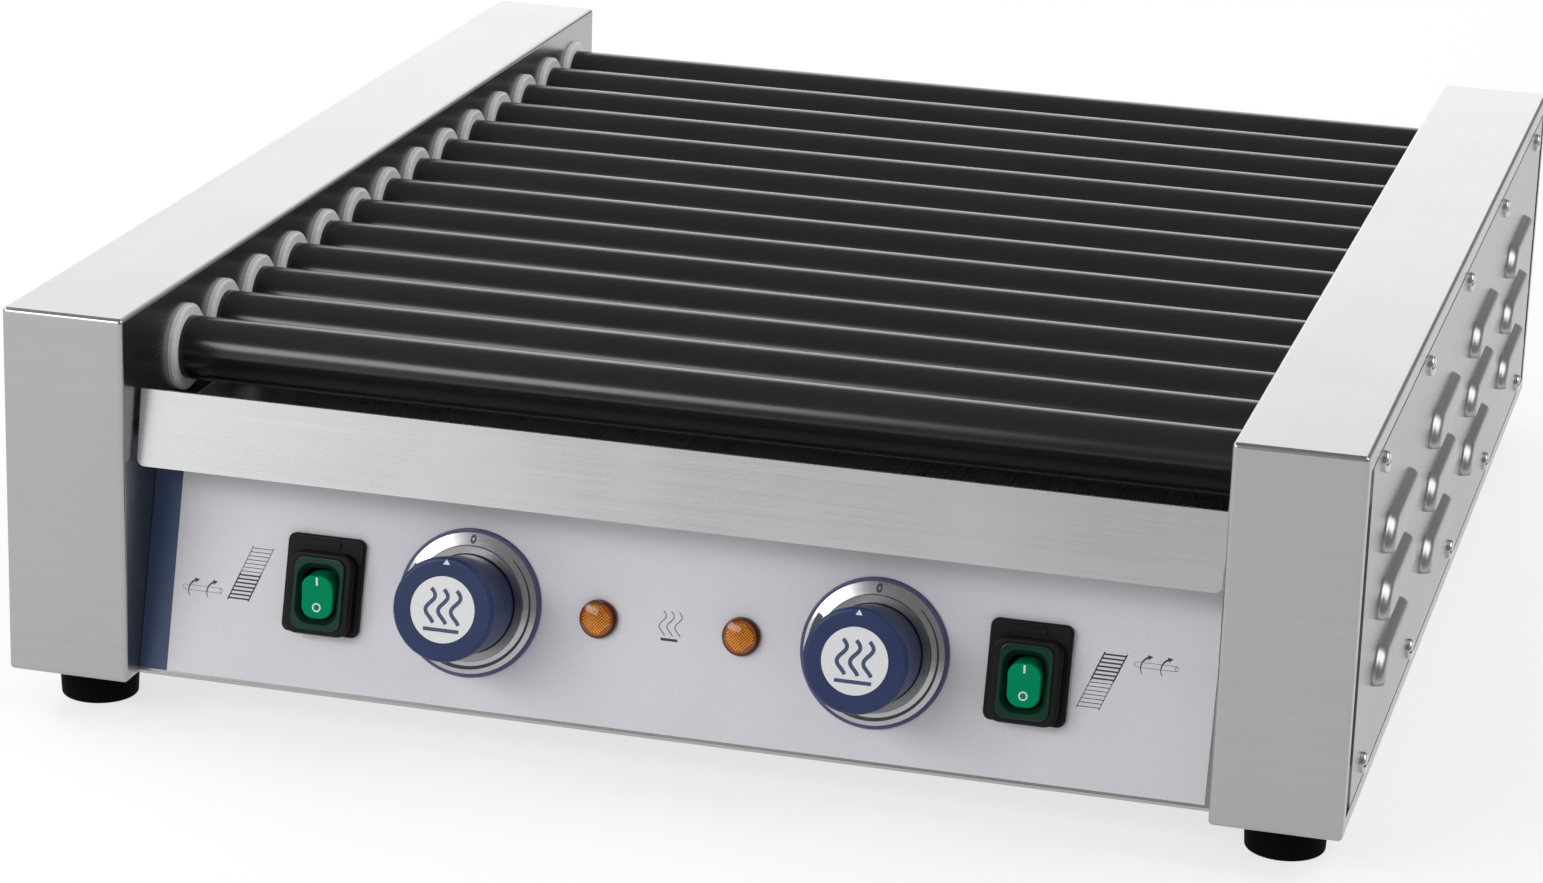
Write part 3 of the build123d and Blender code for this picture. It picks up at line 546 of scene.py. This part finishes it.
def heat_waves(marks, place, height, spacing, width):
    """Three wavy lines of rising heat."""
    for column in (-1, 0, 1):
        points = []
        for i in range(25):
            rise = i / 24
            sway = 0.13 * height * math.sin(2 * math.pi * (1 - rise) * 1.2)
            points.append((column * spacing + sway, (rise - 0.5) * height))
        marks.line(place, points, width)


def roller_bed_mark(marks, x, s, bold_rows):
    """A slanted bed of fourteen rollers with half of them bold."""
    place = on_panel(x, s, level("panel_label", x, s))
    rows = 14
    pitch = 1.55
    lean = 0.4
    half = 4.2
    for row in range(rows):
        y = (row - (rows - 1) / 2) * pitch
        shift = y * lean
        width = BOLD_LINE if row in bold_rows else THIN_LINE
        marks.bar(place, shift - half, shift + half, y - width / 2, y + width / 2)
    tall = rows / 2 * pitch
    for side in (-1, 1):
        foot = (side * half - tall * lean, -tall)
        middle = (side * half, 0)
        head = (side * half + tall * lean, tall)
        widths = (BOLD_RAIL, THIN_LINE) if 0 in bold_rows else (THIN_LINE, BOLD_RAIL)
        marks.line(place, [foot, middle], widths[0])
        marks.line(place, [middle, head], widths[1])


def turning_roller_mark(outline, arrows, x, s):
    """A level roller with two arrows that sweep up and over it."""
    place = on_panel(x, s, level("panel_label", x, s))
    half = 7.4
    radius = 0.95
    line = 0.2
    sweep = 4.2
    for side in (-1, 1):
        outline.bar(place, -half, half, side * radius - line / 2, side * radius + line / 2)
    outline.ring(place, 0.62, 0.42, 1.7, (half, 0))
    outline.line(place, arc(radius, 180, 360, 12, (-half, 0)), line)
    for column in (-5.3, 2.2):
        centre = (column + 3.6, -0.9)
        arrows.line(place, arc(sweep, -125, -22, 20, centre), 0.22, 0.75)
        arrows.line(place, arc(sweep, -24, 0, 4, centre), 1.9, 0.1)


def panel_marks():
    """Everything printed on the label film."""
    black, grey, navy = Marks(), Marks(), Marks()
    low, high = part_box("panel_label")
    left = low.x / MM
    top = (TO_PANEL @ high).y
    band = on_panel(left, 0, level("panel_label", left + 3, 10))
    foot = (TO_PANEL @ low).y
    navy.bar(band, 0, BAND_WIDTH, foot, top)
    row = centre_of("left_knob_turn")[1]
    for x, raised, bold_rows in BED_MARKS:
        roller_bed_mark(black, x, row + raised, bold_rows)
    for x, raised in TURNING_MARKS:
        turning_roller_mark(grey, black, x, row + raised)
    middle = on_panel(0, row, level("panel_label", 0, row))
    heat_waves(black, middle @ Matrix.Translation((0, 1.4, 0)), 9.4, 3.1, 0.3)
    black.bar(middle, -3.3, 3.3, -5.2, -4.2)
    black.piece("panel_marks_black", "cabinet", "label_film", "black_ink")
    grey.piece("panel_marks_grey", "cabinet", "label_film", "grey_ink")
    navy.piece("panel_band", "cabinet", "label_film", "navy_ink")


def dial_marks(side):
    """The zero and the widening heat scale on a dial ring."""
    x, s = centre_of(side + "_knob_turn")
    inner, outer = (level("dial_rings", x + SCALE_R + step, s) for step in (-1, 1))
    slope = (inner - outer) / 2
    place = on_panel(x, s, (inner + outer) / 2)
    marks = Marks(lambda x, y: (SCALE_R - math.hypot(x, y)) * slope)
    marks.ring(place, 1.15, 0.5, 1.5, (0, SCALE_R))
    scale = arc(SCALE_R, SCALE_START, SCALE_END, 90)
    marks.line(place, scale, 0.35, 2.4)
    marks.piece(side + "_dial_marks", "cabinet", "dial_silver", "black_ink")


def knob_marks(side):
    """A plain white disc with a heat sign, and the pointer on the knob's face."""
    x, s = centre_of(side + "_knob_turn")
    height = level(side + "_knob", x, s)
    place = on_panel(x, s, height)
    white = Marks()
    white.disc(place, KNOB_DISC_R)
    white.strip(place, *POINTER)
    white.piece(side + "_knob_disc", side + "_knob", "knob_navy", "white_ink")
    sign = Marks()
    raised = on_panel(x, s, height + INK)
    heat_waves(sign, raised @ Matrix.Translation((0, 1.2, 0)), 13.0, 5.0, 1.5)
    sign.bar(raised, -7.0, 7.0, -8.4, -7.0)
    sign.piece(side + "_knob_sign", side + "_knob", "knob_navy", "navy_ink")


def rocker_marks(side):
    """The bar and the ring on a rocker's two halves."""
    x, s = centre_of(side + "_rocker_tilt")
    node = side + "_rocker"
    marks = Marks()
    marks.bar(seat(node, x, s + ROCKER_BAR), -0.38, 0.38, -1.65, 1.65)
    marks.ring(seat(node, x, s - ROCKER_RING), 1.75, 1.2)
    marks.piece(side + "_rocker_marks", node, "rocker_green", "white_ink")


# ---------------------------------------------------------------- louvred side covers


def louvre_row(inset):
    """The upper outline of a louvre, that far inside its edge, from its back end to its front."""
    radius = LOUVRE_HEIGHT - inset
    straight = LOUVRE_LENGTH / 2 - LOUVRE_HEIGHT
    back = [(straight + y, z) for y, z in arc(radius, 90, 0, LOUVRE_END_STEPS)]
    front = [(y - straight, z) for y, z in arc(radius, 0, -90, LOUVRE_END_STEPS)]
    return back + front


def side_cover(side, sign):
    """A side cover of thin sheet with stamped louvres that open downwards."""
    low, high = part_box(side + "_side_cover")
    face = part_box(side + "_housing")[sign > 0].x
    form = bmesh.new()
    corners = ((low.y, low.z), (high.y, low.z), (high.y, high.z), (low.y, high.z))
    loops = [[form.verts.new((face, y, z)) for y, z in corners]]
    for z in LOUVRE_ROWS:
        for column in LOUVRE_COLUMNS:
            rows = []
            for inset, proud in LOUVRE_PROFILE:
                x = face + sign * proud * MM
                rows.append(
                    [
                        form.verts.new((x, (column * LOUVRE_PITCH + dy) * MM, (z + dz) * MM))
                        for dy, dz in louvre_row(inset)
                    ]
                )
            for outer, inner in zip(rows, rows[1:]):
                for i in range(len(outer) - 1):
                    wall = form.faces.new((outer[i], outer[i + 1], inner[i + 1], inner[i]))
                    wall.smooth = True
            form.faces.new(rows[-1])
            loops.append(rows[0])
    rims = []
    for loop in loops:
        for first, second in zip(loop, loop[1:] + loop[:1]):
            rims.append(form.edges.get((first, second)) or form.edges.new((first, second)))
    bmesh.ops.triangle_fill(form, edges=rims, use_beauty=True, normal=(sign, 0, 0))
    bmesh.ops.recalc_face_normals(form, faces=form.faces)
    mesh = bpy.data.meshes.new(side + "_louvred_cover")
    form.to_mesh(mesh)
    form.free()
    piece = add_piece(side + "_louvred_cover", mesh, "cabinet", "cover")
    sheet = piece.modifiers.new("sheet", "SOLIDIFY")
    sheet.thickness = COVER_SHEET * MM
    sheet.offset = -1
    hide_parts(side + "_side_cover")


# ---------------------------------------------------------------- lamp lenses


def dome_height(radius, bulge=15.0):
    """How far a lamp's dome has fallen away at that distance from its middle."""
    return math.sqrt(bulge**2 - radius**2) - bulge


def lamp_dome(side, place, radius):
    """The glossy amber skin of a lamp's dome."""
    rings, around = 10, 48
    vertices = [place @ Vector((0, 0, INK))]
    for ring in range(1, rings + 1):
        r = radius * ring / rings
        for point in arc(r, 0, 360 - 360 / around, around):
            vertices.append(place @ Vector((*point, dome_height(r) + INK)))
    faces = [(0, 1 + (step + 1) % around, 1 + step) for step in range(around)]
    for ring in range(rings - 1):
        first = 1 + ring * around
        for step in range(around):
            following = (step + 1) % around
            faces.append(
                (first + step, first + following, first + around + following, first + around + step)
            )
    mesh = bpy.data.meshes.new(side + "_lamp_lens")
    mesh.from_pydata(vertices, [], faces)
    mesh.shade_smooth()
    add_piece(side + "_lamp_lens", mesh, "cabinet", "lens")


def lamp_prisms(side, place, radius):
    """Rows of small pyramids set cornerwise under the lamp's face; their bright amber is a painted
    glint.
    """
    pitch = 1.2
    half = 0.5
    rise = 0.3
    sunk = 0.1
    vertices, faces = [], []
    count = int(radius / pitch) + 1
    for column in range(-2 * count, 2 * count + 1):
        for row in range(-2 * count, 2 * count + 1):
            x, y = column * pitch / 2, row * pitch / 2
            if (column + row) % 2 or math.hypot(x, y) > radius:
                continue
            level_here = dome_height(math.hypot(x, y)) + INK / 2
            base = len(vertices)
            corners = [(x + half, y), (x, y + half), (x - half, y), (x, y - half)]
            vertices += [place @ Vector((*corner, level_here - sunk)) for corner in corners]
            vertices.append(place @ Vector((x, y, level_here + rise)))
            faces += [(base + i, base + (i + 1) % 4, base + 4) for i in range(4)]
            faces.append((base + 3, base + 2, base + 1, base))
    mesh = bpy.data.meshes.new(side + "_lamp_prisms")
    mesh.from_pydata(vertices, [], faces)
    add_piece(side + "_lamp_prisms", mesh, "cabinet", "prism")


def lamp_lens(side, sign):
    """A lamp's clear dome with its prism pattern."""
    row = centre_of("left_knob_turn")[1]
    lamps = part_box("pilot_lamps")[1]
    x = sign * (lamps.x / MM - LAMP_R)
    place = on_panel(x, row, level("pilot_lamps", x, row))
    lamp_dome(side, place, LAMP_R - DOME_RIM)
    lamp_prisms(side, place, LAMP_R - PRISM_RIM)


# ---------------------------------------------------------------- studio


def soft_box(name, azimuth, elevation, distance, width, height, radiance):
    """A rectangular area light aimed at the object's centre."""
    a, e = math.radians(azimuth), math.radians(elevation)
    back = Vector((math.sin(a) * math.cos(e), -math.cos(a) * math.cos(e), math.sin(e)))
    light = bpy.data.lights.new(name, "AREA")
    light.shape = "RECTANGLE"
    light.size = width
    light.size_y = height
    light.energy = math.pi * width * height * radiance
    lamp = bpy.data.objects.new(name, light)
    lamp.location = AIM + back * distance
    lamp.visible_camera = False
    lamp.rotation_mode = "QUATERNION"
    lamp.rotation_quaternion = back.to_track_quat("Z", "Y")
    bpy.context.scene.collection.objects.link(lamp)


def studio_floor():
    z = CAD_LOW.z
    mesh = bpy.data.meshes.new("studio_floor")
    corners = [(x * FLOOR_HALF, y * FLOOR_HALF, z) for x, y in ((-1, -1), (1, -1), (1, 1), (-1, 1))]
    mesh.from_pydata(corners, [], [(0, 1, 2, 3)])
    finish = Finish("floor_paper", (0.28, 0.28, 0.28), 0.75, Emission_Strength=FLOOR_GLOW)
    finish.shader.inputs["Emission Color"].default_value = (1, 1, 1, 1)
    fibre = finish.noise(finish.place((40, 40, 40)), 3)
    finish.shade(finish.ranged(fibre, 0.992, 1.008))
    mesh.materials.append(finish.material)
    floor = bpy.data.objects.new("studio_floor", mesh)
    bpy.context.scene.collection.objects.link(floor)


def studio_world(strength):
    world = bpy.data.worlds.new("studio")
    world.use_nodes = True
    background = world.node_tree.nodes["Background"]
    background.inputs["Color"].default_value = (1, 1, 1, 1)
    background.inputs["Strength"].default_value = strength
    bpy.context.scene.world = world


def studio_camera():
    """The camera at the object's usual three-quarter view."""
    a, e, r = (math.radians(v) for v in (CAMERA_AZIMUTH, CAMERA_ELEVATION, CAMERA_ROLL))
    back = Vector((math.sin(a) * math.cos(e), -math.cos(a) * math.cos(e), math.sin(e)))
    level_right = Vector((math.cos(a), math.sin(a), 0))
    level_up = back.cross(level_right)
    right = math.cos(r) * level_right + math.sin(r) * level_up
    up = math.cos(r) * level_up - math.sin(r) * level_right
    target = AIM + right * CAMERA_ASIDE + up * CAMERA_RAISED
    data = bpy.data.cameras.new("camera")
    data.lens = CAMERA_LENS
    data.sensor_width = 36
    camera = bpy.data.objects.new("camera", data)
    turn = Matrix((right, up, back)).transposed().to_4x4()
    camera.matrix_world = Matrix.Translation(target + back * CAMERA_DISTANCE) @ turn
    bpy.context.scene.collection.objects.link(camera)
    bpy.context.scene.camera = camera


def studio():
    studio_camera()
    studio_floor()
    studio_world(WORLD_LIGHT)
    for values in SOFT_BOXES:
        soft_box(*values)
    bpy.context.scene.view_settings.view_transform = "Standard"


finish_nodes()
panel_marks()
for side, sign in (("left", -1), ("right", 1)):
    dial_marks(side)
    knob_marks(side)
    rocker_marks(side)
    lamp_lens(side, sign)
    side_cover(side, sign)
studio()
